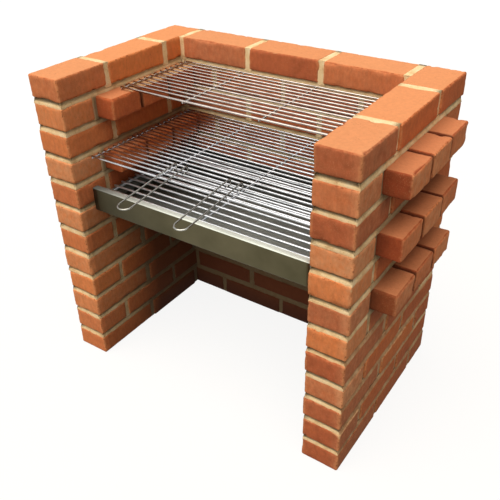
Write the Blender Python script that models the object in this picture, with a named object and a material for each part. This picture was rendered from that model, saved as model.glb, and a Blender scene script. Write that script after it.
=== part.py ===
# A free-standing garden barbecue laid in brick: two side walls and a back wall, twelve courses high.
# Three courses turn their side bricks crosswise, so that they make ledges inside the fire bay and shelves
# outside it. The ledges carry a sheet steel charcoal tray with its grate, a cooking grill with two
# lifting handles hooked on it, and a warming rack.
# Metres, +Z up. X runs along the front, Y runs from the front to the back, Z starts at the ground.

import math

import bmesh
import bpy
from mathutils import Matrix, Vector

# Bricks and mortar
BRICK_LENGTH = 0.220
BRICK_WIDTH = 0.105
BRICK_HEIGHT = 0.060
BRICK_ARRIS = 0.003
BED_JOINT = 0.014
UPRIGHT_JOINT = 0.012
SIDE_STRETCHER_JOINT = 0.014
MORTAR_RECESS = 0.004

# Walls, with the courses counted from the ground
COURSE_COUNT = 12
STRETCHERS_BETWEEN_WALLS = 3
SIDE_STRETCHER_COUNT = 2
LEDGE_COURSES = (7, 9, 11)
THREE_QUARTER_COURSES = (10, 12)
LEDGE_BRICK_PLACES = ("front", "middle", "back")
LEDGE_BRICK_GAP = 0.005

# Gap kept between pieces that touch or rest on each other
CLEARANCE = 0.0003

# Room left round the fittings: beside their ends, and between the last bar's middle and the back wall
FITTING_END_GAP = 0.018
FITTING_BACK_GAP = 0.007

# Charcoal tray
TRAY_FRONT = 0.042
TRAY_BACK_GAP = 0.011
TRAY_FRONT_HEIGHT = 0.067
TRAY_WALL_HEIGHT = 0.037
TRAY_RIM = 0.018
TRAY_END_INSET = 0.003
SHEET = 0.0015

# Round bars of the grate, the grill and the rack
BAR_SIDES = 8
WELD_SINK = 0.001
COAL_BAR = 0.007
COAL_ROD = 0.006
COAL_BAR_COUNT = 13
COAL_FIRST_BAR = 0.0512
COAL_LAST_BAR = 0.0302
COAL_ROD_INSET = 0.0121
COAL_MIDDLE_RODS = (-0.0121,)
GRILL_BAR = 0.005
GRILL_FRONT_BAR = 0.006
GRILL_ROD = 0.005
GRILL_BAR_COUNT = 22
GRILL_FRONT = 0.056
GRILL_FRONT_GAP = 0.023
GRILL_ROD_INSET = 0.004
GRILL_MIDDLE_RODS = (-0.1102, 0.1102)
RACK_BAR_COUNT = 13
RACK_FRONT = 0.192
RACK_FRONT_GAP = 0.0284
RACK_MIDDLE_RODS = (-0.123, 0.1062)

# Lifting handles: each is one bent wire with a loop in front and two hooks under a bar of the grill
HANDLE_WIRE = 0.004
HANDLE_SPREAD = 0.036
HANDLE_PAIR_SPACING = 0.168
HANDLE_HOOK_RADIUS = 0.0065
HANDLE_HOOKED_BAR = 4
HANDLE_LOOP_FRONT = 0.1
HOOK_END_ANGLE = math.radians(-150)
HOOK_STEPS = 12
LOOP_STEPS = 14
HANDLE_ROUND_STEPS = 2

# Sizes that follow from those above
COURSE_PITCH = BRICK_HEIGHT + BED_JOINT
WIDTH = STRETCHERS_BETWEEN_WALLS * (BRICK_LENGTH + UPRIGHT_JOINT) + 2 * BRICK_WIDTH + UPRIGHT_JOINT
SIDE_STRETCHER_PITCH = BRICK_LENGTH + SIDE_STRETCHER_JOINT
BACK_FACE = SIDE_STRETCHER_COUNT * SIDE_STRETCHER_PITCH
DEPTH = BACK_FACE + BRICK_WIDTH
RIGHT_FACE = WIDTH - BRICK_WIDTH
LEDGE_START = BRICK_WIDTH + UPRIGHT_JOINT
LEDGE_STOP = BACK_FACE - UPRIGHT_JOINT
LEDGE_GAP_COUNT = len(LEDGE_BRICK_PLACES) - 1
LEDGE_BRICK_WIDTH = (LEDGE_STOP - LEDGE_START - LEDGE_GAP_COUNT * LEDGE_BRICK_GAP) / len(LEDGE_BRICK_PLACES)
TRAY_LEDGE, GRILL_LEDGE, RACK_LEDGE = [
    (course - 1) * COURSE_PITCH + BRICK_HEIGHT + CLEARANCE for course in LEDGE_COURSES
]
FITTING_WIDTH = WIDTH - 2 * (BRICK_WIDTH + FITTING_END_GAP)
TRAY_DEPTH = BACK_FACE - TRAY_BACK_GAP - TRAY_FRONT
COAL_BAR_PITCH = (TRAY_DEPTH - COAL_FIRST_BAR - COAL_LAST_BAR) / (COAL_BAR_COUNT - 1)
GRILL_BAR_PITCH = (BACK_FACE - FITTING_BACK_GAP - GRILL_FRONT - GRILL_FRONT_GAP) / (GRILL_BAR_COUNT - 2)
RACK_BAR_PITCH = (BACK_FACE - FITTING_BACK_GAP - RACK_FRONT - RACK_FRONT_GAP) / (RACK_BAR_COUNT - 2)
BBOX_FRONT = -HANDLE_LOOP_FRONT - HANDLE_WIRE / 2


def make_material(name, colour, roughness, metallic):
    material = bpy.data.materials.new(name)
    material.use_nodes = True
    shader = material.node_tree.nodes["Principled BSDF"]
    shader.inputs["Base Color"].default_value = (*colour, 1.0)
    shader.inputs["Roughness"].default_value = roughness
    shader.inputs["Metallic"].default_value = metallic
    material.diffuse_color = (*colour, 1.0)
    return material


def make_object(name, data, location, material, parent):
    piece = bpy.data.objects.new(name, data)
    piece.location = location
    piece.parent = parent
    if not data.materials:
        data.materials.append(material)
    bpy.context.scene.collection.objects.link(piece)
    return piece


def hide_helper(helper):
    helper.hide_render = True
    helper.display_type = "WIRE"


def add_boolean(piece, helper, operation):
    modifier = piece.modifiers.new(operation.lower(), "BOOLEAN")
    modifier.operation = operation
    modifier.solver = "EXACT"
    modifier.object = helper
    modifier.material_mode = "TRANSFER"


def box_mesh(name, boxes, arris=0):
    """One mesh of separate boxes, each given by its low and its high corner, with their arrises worn off."""
    shape = bmesh.new()
    for low, high in boxes:
        middle = (Vector(low) + Vector(high)) / 2
        size = Vector(high) - Vector(low)
        place = Matrix.Translation(middle) @ Matrix.Diagonal((*size, 1.0))
        bmesh.ops.create_cube(shape, size=1.0, matrix=place)
    if arris:
        bmesh.ops.bevel(shape, geom=shape.edges[:], offset=arris, segments=1, affect="EDGES")
    mesh = bpy.data.meshes.new(name)
    shape.to_mesh(mesh)
    shape.free()
    return mesh


def rod_mesh(name, rods):
    """One mesh of separate round rods, each given by its two ends and its diameter."""
    shape = bmesh.new()
    for start, stop, diameter in rods:
        along = Vector(stop) - Vector(start)
        turn = along.to_track_quat("Z", "Y").to_matrix().to_4x4()
        half_side = Matrix.Rotation(math.pi / BAR_SIDES, 4, "Z")
        place = Matrix.Translation((Vector(start) + Vector(stop)) / 2) @ turn @ half_side
        bmesh.ops.create_cone(
            shape,
            cap_ends=True,
            segments=BAR_SIDES,
            radius1=diameter / 2,
            radius2=diameter / 2,
            depth=along.length,
            matrix=place,
        )
    mesh = bpy.data.meshes.new(name)
    shape.to_mesh(mesh)
    shape.free()
    mesh.shade_smooth()
    mesh.set_sharp_from_angle(angle=math.radians(60))
    return mesh


def add_wall_run(name, place, turn, core_span, bricks, first_course, pocket):
    """One course of one wall: its bricks stand in one body of mortar, which is also the bed under them.
    Along the run is local X, through the wall is local Y, and Z starts at the bricks' underside.
    """
    across = BRICK_WIDTH / 2
    core_across = across - MORTAR_RECESS
    core_bottom = MORTAR_RECESS if first_course else CLEARANCE - BED_JOINT
    core = box_mesh(
        name,
        [((core_span[0], -core_across, core_bottom), (core_span[1], core_across, BRICK_HEIGHT - MORTAR_RECESS))],
    )
    run = make_object(name, core, place, mortar, frame)
    run.rotation_euler.z = turn
    if pocket:
        over = BRICK_HEIGHT + BRICK_WIDTH
        cut = box_mesh(name + "_pocket", [((pocket[0], -BRICK_WIDTH, -CLEARANCE), (pocket[1], BRICK_WIDTH, over))])
        cutter = make_object(name + "_pocket", cut, place, mortar, frame)
        cutter.rotation_euler.z = turn
        hide_helper(cutter)
        add_boolean(run, cutter, "DIFFERENCE")
    boxes = [((start, -across, 0), (start + length, across, BRICK_HEIGHT)) for start, length in bricks]
    laid = make_object(name + "_bricks", box_mesh(name + "_bricks", boxes, BRICK_ARRIS), place, brick, frame)
    laid.rotation_euler.z = turn
    hide_helper(laid)
    add_boolean(run, laid, "UNION")


def side_bricks(course):
    """Start and length of each brick of a side wall, from the front."""
    if course in LEDGE_COURSES:
        return [(0, BRICK_WIDTH)]
    if course % 2:
        return [(i * SIDE_STRETCHER_PITCH, BRICK_LENGTH) for i in range(SIDE_STRETCHER_COUNT)]
    if course in THREE_QUARTER_COURSES:
        end = (DEPTH - BRICK_LENGTH) / 2 - UPRIGHT_JOINT
        return [(0, end), (end + UPRIGHT_JOINT, BRICK_LENGTH), (DEPTH - end, end)]
    bat = DEPTH - 2 * (BRICK_LENGTH + UPRIGHT_JOINT)
    middle = bat + UPRIGHT_JOINT
    return [(0, bat), (middle, BRICK_LENGTH), (middle + BRICK_LENGTH + UPRIGHT_JOINT, BRICK_LENGTH)]


def back_bricks(course):
    """Start and length of each brick of the back wall, from the left."""
    step = BRICK_LENGTH + UPRIGHT_JOINT
    if course % 2 == 0:
        first = BRICK_WIDTH + UPRIGHT_JOINT
        return [(first + i * step, BRICK_LENGTH) for i in range(STRETCHERS_BETWEEN_WALLS)]
    # A whole brick binds each corner, and the bricks between them are cut to fill the course.
    between = STRETCHERS_BETWEEN_WALLS - 1
    cut = (WIDTH - 2 * BRICK_LENGTH - STRETCHERS_BETWEEN_WALLS * UPRIGHT_JOINT) / between
    filling = [(step + i * (cut + UPRIGHT_JOINT), cut) for i in range(between)]
    return [(0, BRICK_LENGTH)] + filling + [(WIDTH - BRICK_LENGTH, BRICK_LENGTH)]


def add_walls():
    for course in range(1, COURSE_COUNT + 1):
        level = (course - 1) * COURSE_PITCH
        first_course = course == 1
        sides_run_through = course % 2 == 0
        side_stop = DEPTH - MORTAR_RECESS if sides_run_through else BACK_FACE - CLEARANCE
        pocket = (LEDGE_START - CLEARANCE, LEDGE_STOP + CLEARANCE) if course in LEDGE_COURSES else None
        for side, centre in (("left", BRICK_WIDTH / 2), ("right", WIDTH - BRICK_WIDTH / 2)):
            add_wall_run(
                f"{side}_wall_course_{course:02d}",
                (centre, 0, level),
                math.pi / 2,
                (MORTAR_RECESS, side_stop),
                side_bricks(course),
                first_course,
                pocket,
            )
        back_span = (MORTAR_RECESS, WIDTH - MORTAR_RECESS)
        if sides_run_through:
            back_span = (BRICK_WIDTH + CLEARANCE, RIGHT_FACE - CLEARANCE)
        add_wall_run(
            f"back_wall_course_{course:02d}",
            (0, DEPTH - BRICK_WIDTH / 2, level),
            0,
            back_span,
            back_bricks(course),
            first_course,
            None,
        )


def add_ledge_bricks():
    """Bricks laid crosswise, which stand out as far inside the bay as they do outside the wall."""
    half = (BRICK_LENGTH / 2, LEDGE_BRICK_WIDTH / 2)
    mesh = box_mesh("ledge_brick", [((-half[0], -half[1], 0), (half[0], half[1], BRICK_HEIGHT))], BRICK_ARRIS)
    for course in LEDGE_COURSES:
        level = (course - 1) * COURSE_PITCH
        for side, centre in (("left", BRICK_WIDTH / 2), ("right", WIDTH - BRICK_WIDTH / 2)):
            for number, place in enumerate(LEDGE_BRICK_PLACES):
                along = LEDGE_START + half[1] + number * (LEDGE_BRICK_WIDTH + LEDGE_BRICK_GAP)
                name = f"{side}_ledge_{course:02d}_brick_{place}"
                make_object(name, mesh, (centre, along, level), ledge_brick, frame)


def add_charcoal_tray():
    """A folded channel with a high front and its rim turned in, closed by two low end plates."""
    half = FITTING_WIDTH / 2
    outline = [
        (0, 0),
        (TRAY_DEPTH, 0),
        (TRAY_DEPTH, TRAY_WALL_HEIGHT),
        (TRAY_DEPTH - SHEET, TRAY_WALL_HEIGHT),
        (TRAY_DEPTH - SHEET, SHEET),
        (SHEET, SHEET),
        (SHEET, TRAY_FRONT_HEIGHT - SHEET),
        (TRAY_RIM, TRAY_FRONT_HEIGHT - SHEET),
        (TRAY_RIM, TRAY_FRONT_HEIGHT),
        (0, TRAY_FRONT_HEIGHT),
    ]
    shape = bmesh.new()
    face = shape.faces.new([shape.verts.new((-half, y, z)) for y, z in outline])
    swept = bmesh.ops.extrude_face_region(shape, geom=[face])["geom"]
    moved = [part for part in swept if isinstance(part, bmesh.types.BMVert)]
    bmesh.ops.translate(shape, verts=moved, vec=(FITTING_WIDTH, 0, 0))
    bmesh.ops.recalc_face_normals(shape, faces=shape.faces)
    channel = bpy.data.meshes.new("charcoal_tray")
    shape.to_mesh(channel)
    shape.free()
    tray = make_object("charcoal_tray", channel, (WIDTH / 2, TRAY_FRONT, TRAY_LEDGE), tray_steel, frame)
    outer = half - TRAY_END_INSET
    seat = SHEET / 2
    ends = [
        ((-outer, seat, seat), (SHEET - outer, TRAY_DEPTH - seat, TRAY_WALL_HEIGHT)),
        ((outer - SHEET, seat, seat), (outer, TRAY_DEPTH - seat, TRAY_WALL_HEIGHT)),
    ]
    plates = make_object("charcoal_tray_ends", box_mesh("tray_ends", ends), tray.location, tray_steel, frame)
    hide_helper(plates)
    add_boolean(tray, plates, "UNION")


def add_grille(name, material, place, bar_places, bar_sizes, rod_size, rod_inset, middle_rods):
    """Round bars along X, welded on top of round rods along Y. The origin is at the middle of the first
    bar, at the underside of the rods."""
    half = FITTING_WIDTH / 2
    bars = []
    for along, size in zip(bar_places, bar_sizes):
        height = rod_size - WELD_SINK + size / 2
        bars.append(((-half, along, height), (half, along, height), size))
    grille = make_object(name, rod_mesh(name, bars), place, material, frame)
    rods = []
    for across in (rod_inset - half, *middle_rods, half - rod_inset):
        front = bar_places[0] - bar_sizes[0] / 2
        back = bar_places[-1] + bar_sizes[-1] / 2
        rods.append(((across, front, rod_size / 2), (across, back, rod_size / 2), rod_size))
    helper = make_object(name + "_rods", rod_mesh(name + "_rods", rods), place, material, frame)
    hide_helper(helper)
    add_boolean(grille, helper, "UNION")
    return grille


def bar_row(count, first_gap, pitch):
    return [0] + [first_gap + i * pitch for i in range(count - 1)]


def add_charcoal_grate():
    """Its bars lie across the end plates of the tray, and its outer rods keep it between them."""
    bar_level = TRAY_LEDGE + TRAY_WALL_HEIGHT + CLEARANCE
    place = (WIDTH / 2, TRAY_FRONT + COAL_FIRST_BAR, bar_level - (COAL_ROD - WELD_SINK))
    places = bar_row(COAL_BAR_COUNT, COAL_BAR_PITCH, COAL_BAR_PITCH)
    sizes = [COAL_BAR] * COAL_BAR_COUNT
    add_grille("charcoal_grate", grate_steel, place, places, sizes, COAL_ROD, COAL_ROD_INSET, COAL_MIDDLE_RODS)


def add_cooking_grill():
    places = bar_row(GRILL_BAR_COUNT, GRILL_FRONT_GAP, GRILL_BAR_PITCH)
    sizes = [GRILL_FRONT_BAR] + [GRILL_BAR] * (GRILL_BAR_COUNT - 1)
    place = (WIDTH / 2, GRILL_FRONT, GRILL_LEDGE)
    return add_grille(
        "cooking_grill", bright_wire, place, places, sizes, GRILL_ROD, GRILL_ROD_INSET, GRILL_MIDDLE_RODS
    )


def add_warming_rack():
    places = bar_row(RACK_BAR_COUNT, RACK_FRONT_GAP, RACK_BAR_PITCH)
    sizes = [GRILL_FRONT_BAR] + [GRILL_BAR] * (RACK_BAR_COUNT - 1)
    place = (WIDTH / 2, RACK_FRONT, RACK_LEDGE)
    add_grille("warming_rack", bright_wire, place, places, sizes, GRILL_ROD, GRILL_ROD_INSET, RACK_MIDDLE_RODS)


def handle_points():
    """Middle line of a handle's wire. The origin is the axis of the bar that its hooks are round.
    The hooks' undersides bear on that bar and the straight rods bear on the grill's front bar.
    """
    hook_radius = HANDLE_HOOK_RADIUS + HANDLE_WIRE / 2
    hook_rise = HANDLE_HOOK_RADIUS - GRILL_BAR / 2 - CLEARANCE
    bar_reach = GRILL_FRONT_GAP + (HANDLE_HOOKED_BAR - 2) * GRILL_BAR_PITCH
    front_radius = (GRILL_FRONT_BAR + HANDLE_WIRE) / 2 + CLEARANCE
    front_rise = (GRILL_FRONT_BAR - GRILL_BAR) / 2 - hook_rise
    # Angle of the line that lies on both circles: the hook's and the one round the front bar.
    distance = math.hypot(bar_reach, front_rise)
    tilt = math.asin((hook_radius - front_radius) / distance) + math.atan2(-front_rise, bar_reach)
    outwards = Vector((0, -math.cos(tilt), -math.sin(tilt)))
    upwards = Vector((0, -math.sin(tilt), math.cos(tilt)))
    centre = Vector((0, 0, hook_rise))
    side = Vector((HANDLE_SPREAD / 2, 0, 0))
    hook = []
    for step in range(HOOK_STEPS + 1):
        angle = math.pi / 2 + step / HOOK_STEPS * (HOOK_END_ANGLE - math.pi / 2)
        hook.append(centre - outwards * hook_radius * math.cos(angle) + upwards * hook_radius * math.sin(angle))
    loop_radius = HANDLE_SPREAD / 2
    front = GRILL_FRONT + bar_reach + HANDLE_LOOP_FRONT
    reach = (front + upwards.y * hook_radius) / math.cos(tilt) - loop_radius
    loop_centre = hook[0] + outwards * reach
    loop = []
    for step in range(LOOP_STEPS + 1):
        angle = step / LOOP_STEPS * math.pi
        loop.append(loop_centre - side * math.cos(angle) + outwards * loop_radius * math.sin(angle))
    first_hook = [point - side for point in reversed(hook)]
    last_hook = [point + side for point in hook]
    return first_hook + loop + last_hook


def add_lifting_handles(grill):
    wire = bpy.data.curves.new("lifting_handle", "CURVE")
    wire.dimensions = "3D"
    wire.bevel_depth = HANDLE_WIRE / 2
    wire.bevel_resolution = HANDLE_ROUND_STEPS
    wire.use_fill_caps = True
    points = handle_points()
    spline = wire.splines.new("POLY")
    spline.points.add(len(points) - 1)
    for target, point in zip(spline.points, points):
        target.co = (*point, 1.0)
    along = GRILL_FRONT_GAP + (HANDLE_HOOKED_BAR - 2) * GRILL_BAR_PITCH
    height = GRILL_ROD - WELD_SINK + GRILL_BAR / 2
    for side, sign in (("left", -1), ("right", 1)):
        place = (sign * HANDLE_PAIR_SPACING / 2, along, height)
        make_object(f"lifting_handle_{side}", wire, place, bright_wire, grill)


for old in list(bpy.data.objects):
    bpy.data.objects.remove(old, do_unlink=True)

brick = make_material("red_brick", (0.46, 0.13, 0.055), 0.85, 0.0)
ledge_brick = make_material("red_ledge_brick", (0.50, 0.15, 0.06), 0.85, 0.0)
mortar = make_material("sandy_mortar", (0.58, 0.44, 0.26), 0.95, 0.0)
tray_steel = make_material("brushed_tray_steel", (0.62, 0.60, 0.54), 0.35, 1.0)
grate_steel = make_material("grate_steel", (0.72, 0.71, 0.68), 0.3, 1.0)
bright_wire = make_material("bright_plated_wire", (0.82, 0.81, 0.79), 0.18, 1.0)

frame = bpy.data.objects.new("frame", None)
frame.location = (-WIDTH / 2, -(BBOX_FRONT + DEPTH) / 2, 0)
bpy.context.scene.collection.objects.link(frame)

add_walls()
add_ledge_bricks()
add_charcoal_tray()
add_charcoal_grate()
cooking_grill = add_cooking_grill()
add_warming_rack()
add_lifting_handles(cooking_grill)
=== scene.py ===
import functools
import itertools
import math

import bpy
import numpy as np
from mathutils import Matrix, Vector


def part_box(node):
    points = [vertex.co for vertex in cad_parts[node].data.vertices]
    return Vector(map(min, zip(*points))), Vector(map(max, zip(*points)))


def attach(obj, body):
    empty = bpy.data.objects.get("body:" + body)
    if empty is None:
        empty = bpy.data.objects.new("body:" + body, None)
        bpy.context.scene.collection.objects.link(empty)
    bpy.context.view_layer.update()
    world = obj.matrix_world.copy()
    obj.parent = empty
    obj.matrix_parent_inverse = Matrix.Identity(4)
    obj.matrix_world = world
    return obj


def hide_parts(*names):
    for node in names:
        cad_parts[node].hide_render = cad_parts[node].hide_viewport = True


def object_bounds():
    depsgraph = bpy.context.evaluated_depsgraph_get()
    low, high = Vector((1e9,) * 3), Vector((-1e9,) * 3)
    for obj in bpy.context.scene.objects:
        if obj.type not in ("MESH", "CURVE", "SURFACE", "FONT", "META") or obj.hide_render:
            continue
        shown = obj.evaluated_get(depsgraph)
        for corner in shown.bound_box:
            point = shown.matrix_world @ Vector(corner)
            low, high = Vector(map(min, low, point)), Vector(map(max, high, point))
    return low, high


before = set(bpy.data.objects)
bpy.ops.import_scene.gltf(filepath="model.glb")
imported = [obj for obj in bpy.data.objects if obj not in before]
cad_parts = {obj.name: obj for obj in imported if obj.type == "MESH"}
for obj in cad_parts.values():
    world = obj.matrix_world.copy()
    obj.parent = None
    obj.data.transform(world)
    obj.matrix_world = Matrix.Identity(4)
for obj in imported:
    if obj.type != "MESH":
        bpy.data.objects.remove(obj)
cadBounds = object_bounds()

scene = bpy.context.scene
cadLow, cadHigh = np.array(cadBounds[0], float), np.array(cadBounds[1], float)
print("frame:", len(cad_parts), "nodes", cadLow, cadHigh)

# the masonry's sizes, the same as in the solids, in metres
masonry = {
    "brickLength": 0.220,
    "brickWidth": 0.105,
    "brickHeight": 0.060,
    "bedJoint": 0.014,
    "uprightJoint": 0.012,
    "sideStretcherJoint": 0.014,
    "bricksBetween": 3,  # stretchers between the side walls
    "sideStretchers": 2,
    "courseCount": 12,
    "ledgeCourses": (7, 9, 11),
    "threeQuarterCourses": (10, 12),
    "outerLeft": -0.459,
    "front": -0.2355,
}
brickLength, brickWidth, brickHeight = masonry["brickLength"], masonry["brickWidth"], masonry["brickHeight"]
bedJoint, uprightJoint = masonry["bedJoint"], masonry["uprightJoint"]
coursePitch = brickHeight + bedJoint
sidePitch = brickLength + masonry["sideStretcherJoint"]
runWidth = masonry["bricksBetween"] * (brickLength + uprightJoint) + 2 * brickWidth + uprightJoint
backFace = masonry["sideStretchers"] * sidePitch
runDepth = backFace + brickWidth
innerFace = runWidth / 2 - brickWidth  # of the side walls, from the middle
topLedge = masonry["ledgeCourses"][-1]


# small tools

hashing = {
    "seedStep": 7.31,
    "axes": (73856093, 19349663, 83492791),
    "mixes": ((13, 1274126177), (16, 668265263)),  # shift and factor
    "bits": 32,
}


def smoothNoise(points, cell, seed):
    # Random heights from -1 to 1 on a cubic lattice of that cell, blended between the lattice points by
    # 3t^2 - 2t^3. A height is the lattice point's three numbers mixed into one.
    place = points / cell + seed * hashing["seedStep"]
    corner = np.floor(place).astype(np.int64)
    part = place - corner
    part = part * part * (3 - 2 * part)
    total = np.zeros(len(points))
    for step in range(8):
        offset = np.array((step & 1, step >> 1 & 1, step >> 2))
        key = np.bitwise_xor.reduce((corner + offset) * hashing["axes"], axis=1)
        for shift, factor in hashing["mixes"]:
            key = (key ^ key >> shift) * factor & (1 << hashing["bits"]) - 1
        height = key / 2 ** (hashing["bits"] - 1) - 1
        total += np.prod(np.abs(1 - offset - part), axis=1) * height
    return total


def between(value, limits):
    # 0 at the first limit, 1 at the second: clip((value - first) / (second - first), 0, 1)
    return np.clip((value - limits[0]) / (limits[1] - limits[0]), 0, 1)


@functools.lru_cache(maxsize=None)
def boxLattice(counts):
    # Integer points on the six sides of a box that is counts cells long each way, and the quads between.
    quads = []
    for axis in range(3):
        a, b = (axis + 1) % 3, (axis + 2) % 3
        i, j = np.meshgrid(np.arange(counts[a]), np.arange(counts[b]), indexing="ij")
        for end in (0, counts[axis]):
            ring = []
            for da, db in ((0, 0), (1, 0), (1, 1), (0, 1)):
                corner = np.zeros(i.shape + (3,), np.int64)
                corner[..., axis] = end
                corner[..., a] = i + da
                corner[..., b] = j + db
                ring.append(corner.reshape(-1, 3))
            if end == 0:
                ring.reverse()
            quads.append(np.stack(ring, 1))
    quads = np.concatenate(quads)
    keys = (quads[..., 0] * (counts[1] + 1) + quads[..., 1]) * (counts[2] + 1) + quads[..., 2]
    _, first, index = np.unique(keys.ravel(), return_index=True, return_inverse=True)
    return quads.reshape(-1, 3)[first], index.reshape(-1, 4)


arrisShape = {"steps": 2, "near": 3}  # steps of its rounding, and radii over which it counts as near


def edgeStops(half, radius, cell):
    # Stops along one axis: even cells over the flat, then radius * tan(angle) up to 45 degrees at each end.
    flat = half - radius
    cells = max(1, round(2 * flat / cell))
    arc = flat + radius * np.tan(np.linspace(0, math.pi / 4, arrisShape["steps"] + 1)[1:])
    return np.concatenate([-arc[::-1], np.linspace(-flat, flat, cells + 1), arc])


def roundedBlock(low, high, radius, cell):
    # Rounded box: each point of the box's surface is pulled onto a sphere of the radius round the nearest
    # point of the inner box. Gives points about the middle, quads, outward directions, nearness from 0 to 1
    # to any arris and to an upright one, and the middle.
    low, high = np.array(low, float), np.array(high, float)
    half = (high - low) / 2
    stops = [edgeStops(half[axis], radius, cell[axis]) for axis in range(3)]
    lattice, quads = boxLattice(tuple(len(s) - 1 for s in stops))
    flatPoints = np.stack([stops[axis][lattice[:, axis]] for axis in range(3)], 1)
    inner = np.clip(flatPoints, radius - half, half - radius)
    outward = flatPoints - inner
    outward /= np.linalg.norm(outward, axis=1, keepdims=True)
    near = np.clip(1 - (half - np.abs(flatPoints)) / (arrisShape["near"] * radius), 0, 1)
    upright = np.minimum(near[:, 0], near[:, 1])
    near.sort(axis=1)
    return inner + radius * outward, quads, outward, near[:, 1], upright, (low + high) / 2


def meshObject(name, points, quads, material, attributes=None):
    # An object from arrays of points, quads and point attributes, smooth shaded, inside the solids' box.
    mesh = bpy.data.meshes.new(name)
    points = np.clip(points, cadLow, cadHigh)
    mesh.vertices.add(len(points))
    mesh.vertices.foreach_set("co", np.ascontiguousarray(points, np.float32).ravel())
    mesh.loops.add(quads.size)
    mesh.loops.foreach_set("vertex_index", quads.ravel().astype(np.int32))
    mesh.polygons.add(len(quads))
    mesh.polygons.foreach_set("loop_start", np.arange(len(quads), dtype=np.int32) * quads.shape[1])
    mesh.polygons.foreach_set("use_smooth", np.ones(len(quads), bool))
    mesh.update(calc_edges=True)
    mesh.validate()
    for key, values in (attributes or {}).items():
        layer = mesh.attributes.new(key, "FLOAT", "POINT")
        layer.data.foreach_set("value", np.ascontiguousarray(values, np.float32))
    mesh.materials.append(material)
    piece = bpy.data.objects.new(name, mesh)
    scene.collection.objects.link(piece)
    return piece


def joinParts(parts):
    # Stacks (points, quads, attribute arrays...) of several shapes into one set of arrays.
    shift, quads = 0, []
    for part in parts:
        quads.append(part[1] + shift)
        shift += len(part[0])
    rest = [np.concatenate([part[k] for part in parts]) for k in range(2, len(parts[0]))]
    return [np.concatenate([part[0] for part in parts]), np.concatenate(quads)] + rest


def hexColour(code):
    # sRGB hex to linear: c/12.92 below 0.04045, else ((c + 0.055)/1.055)^2.4
    values = np.array([int(code[k:k + 2], 16) for k in (1, 3, 5)]) / 255
    linear = np.where(values <= 0.04045, values / 12.92, ((values + 0.055) / 1.055) ** 2.4)
    return (*linear.tolist(), 1.0)


def fillNode(tree, node, settings=None, links=None):
    # Gives a node its plain settings, its sockets' own values and the sockets that feed it.
    for key, value in (settings or {}).items():
        if key == "stops":
            while len(node.color_ramp.elements) < len(value):
                node.color_ramp.elements.new(0.5)
            for element, (position, colour) in zip(node.color_ramp.elements, value):
                element.position = position
                element.color = colour
        elif isinstance(key, int) or key in node.inputs:
            node.inputs[key].default_value = value
        else:
            setattr(node, key, value)
    for key, source in (links or {}).items():
        tree.links.new(source, node.inputs[key])
    return node


def addNode(tree, kind, settings=None, links=None):
    # A new shader node with its settings and links.
    return fillNode(tree, tree.nodes.new("ShaderNode" + kind), settings, links)


# materials; noises give size in millimetres, detail and roughness, bands the range read and the range given

def newMaterial(name, look):
    # A material, its tree, its shader, and the sockets that its look lists: attributes, and noises in the
    # object's own coordinates, some of them stretched.
    material = bpy.data.materials.new(name)
    material.use_nodes = True
    tree = material.node_tree
    place = addNode(tree, "TexCoord").outputs["Object"]
    source = {key: addNode(tree, "Attribute", {"attribute_name": key}).outputs["Fac"]
              for key in look.get("attributes", ())}
    for key, (size, detail, rough) in look.get("noises", {}).items():
        vector, stretch = place, look.get("stretch", {}).get(key)
        if stretch:
            vector = addNode(tree, "Mapping", {"Scale": stretch}, {"Vector": place}).outputs["Vector"]
        source[key] = addNode(tree, "TexNoise", {"Scale": 1000 / size, "Detail": detail, "Roughness": rough},
                              {"Vector": vector}).outputs["Fac"]
    return material, tree, tree.nodes["Principled BSDF"], dict(source, place=place)


def banded(tree, bands, source):
    # The sources that bands lists, each brought from the range read to the range given.
    result, sockets = {}, ("From Min", "From Max", "To Min", "To Max")
    for key, limits in bands.items():
        band = addNode(tree, "MapRange", dict(zip(sockets, limits)), {"Value": source[key]})
        result[key] = band.outputs["Result"]
    return result


def coated(tree, look, colour, coats):
    # The colour, or the look's tones read by a share, under coats of the look's colours.
    if colour.type == "VALUE":
        stops = [(at, hexColour(look[key])) for key, at in look["tones"].items()]
        colour = addNode(tree, "ValToRGB", {"stops": stops}, {"Fac": colour}).outputs["Color"]
    for key, cover in coats.items():
        colour = addNode(tree, "Mix", {"data_type": "RGBA", 7: hexColour(look[key])},
                         {0: cover, 6: colour}).outputs[2]
    return colour


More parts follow.
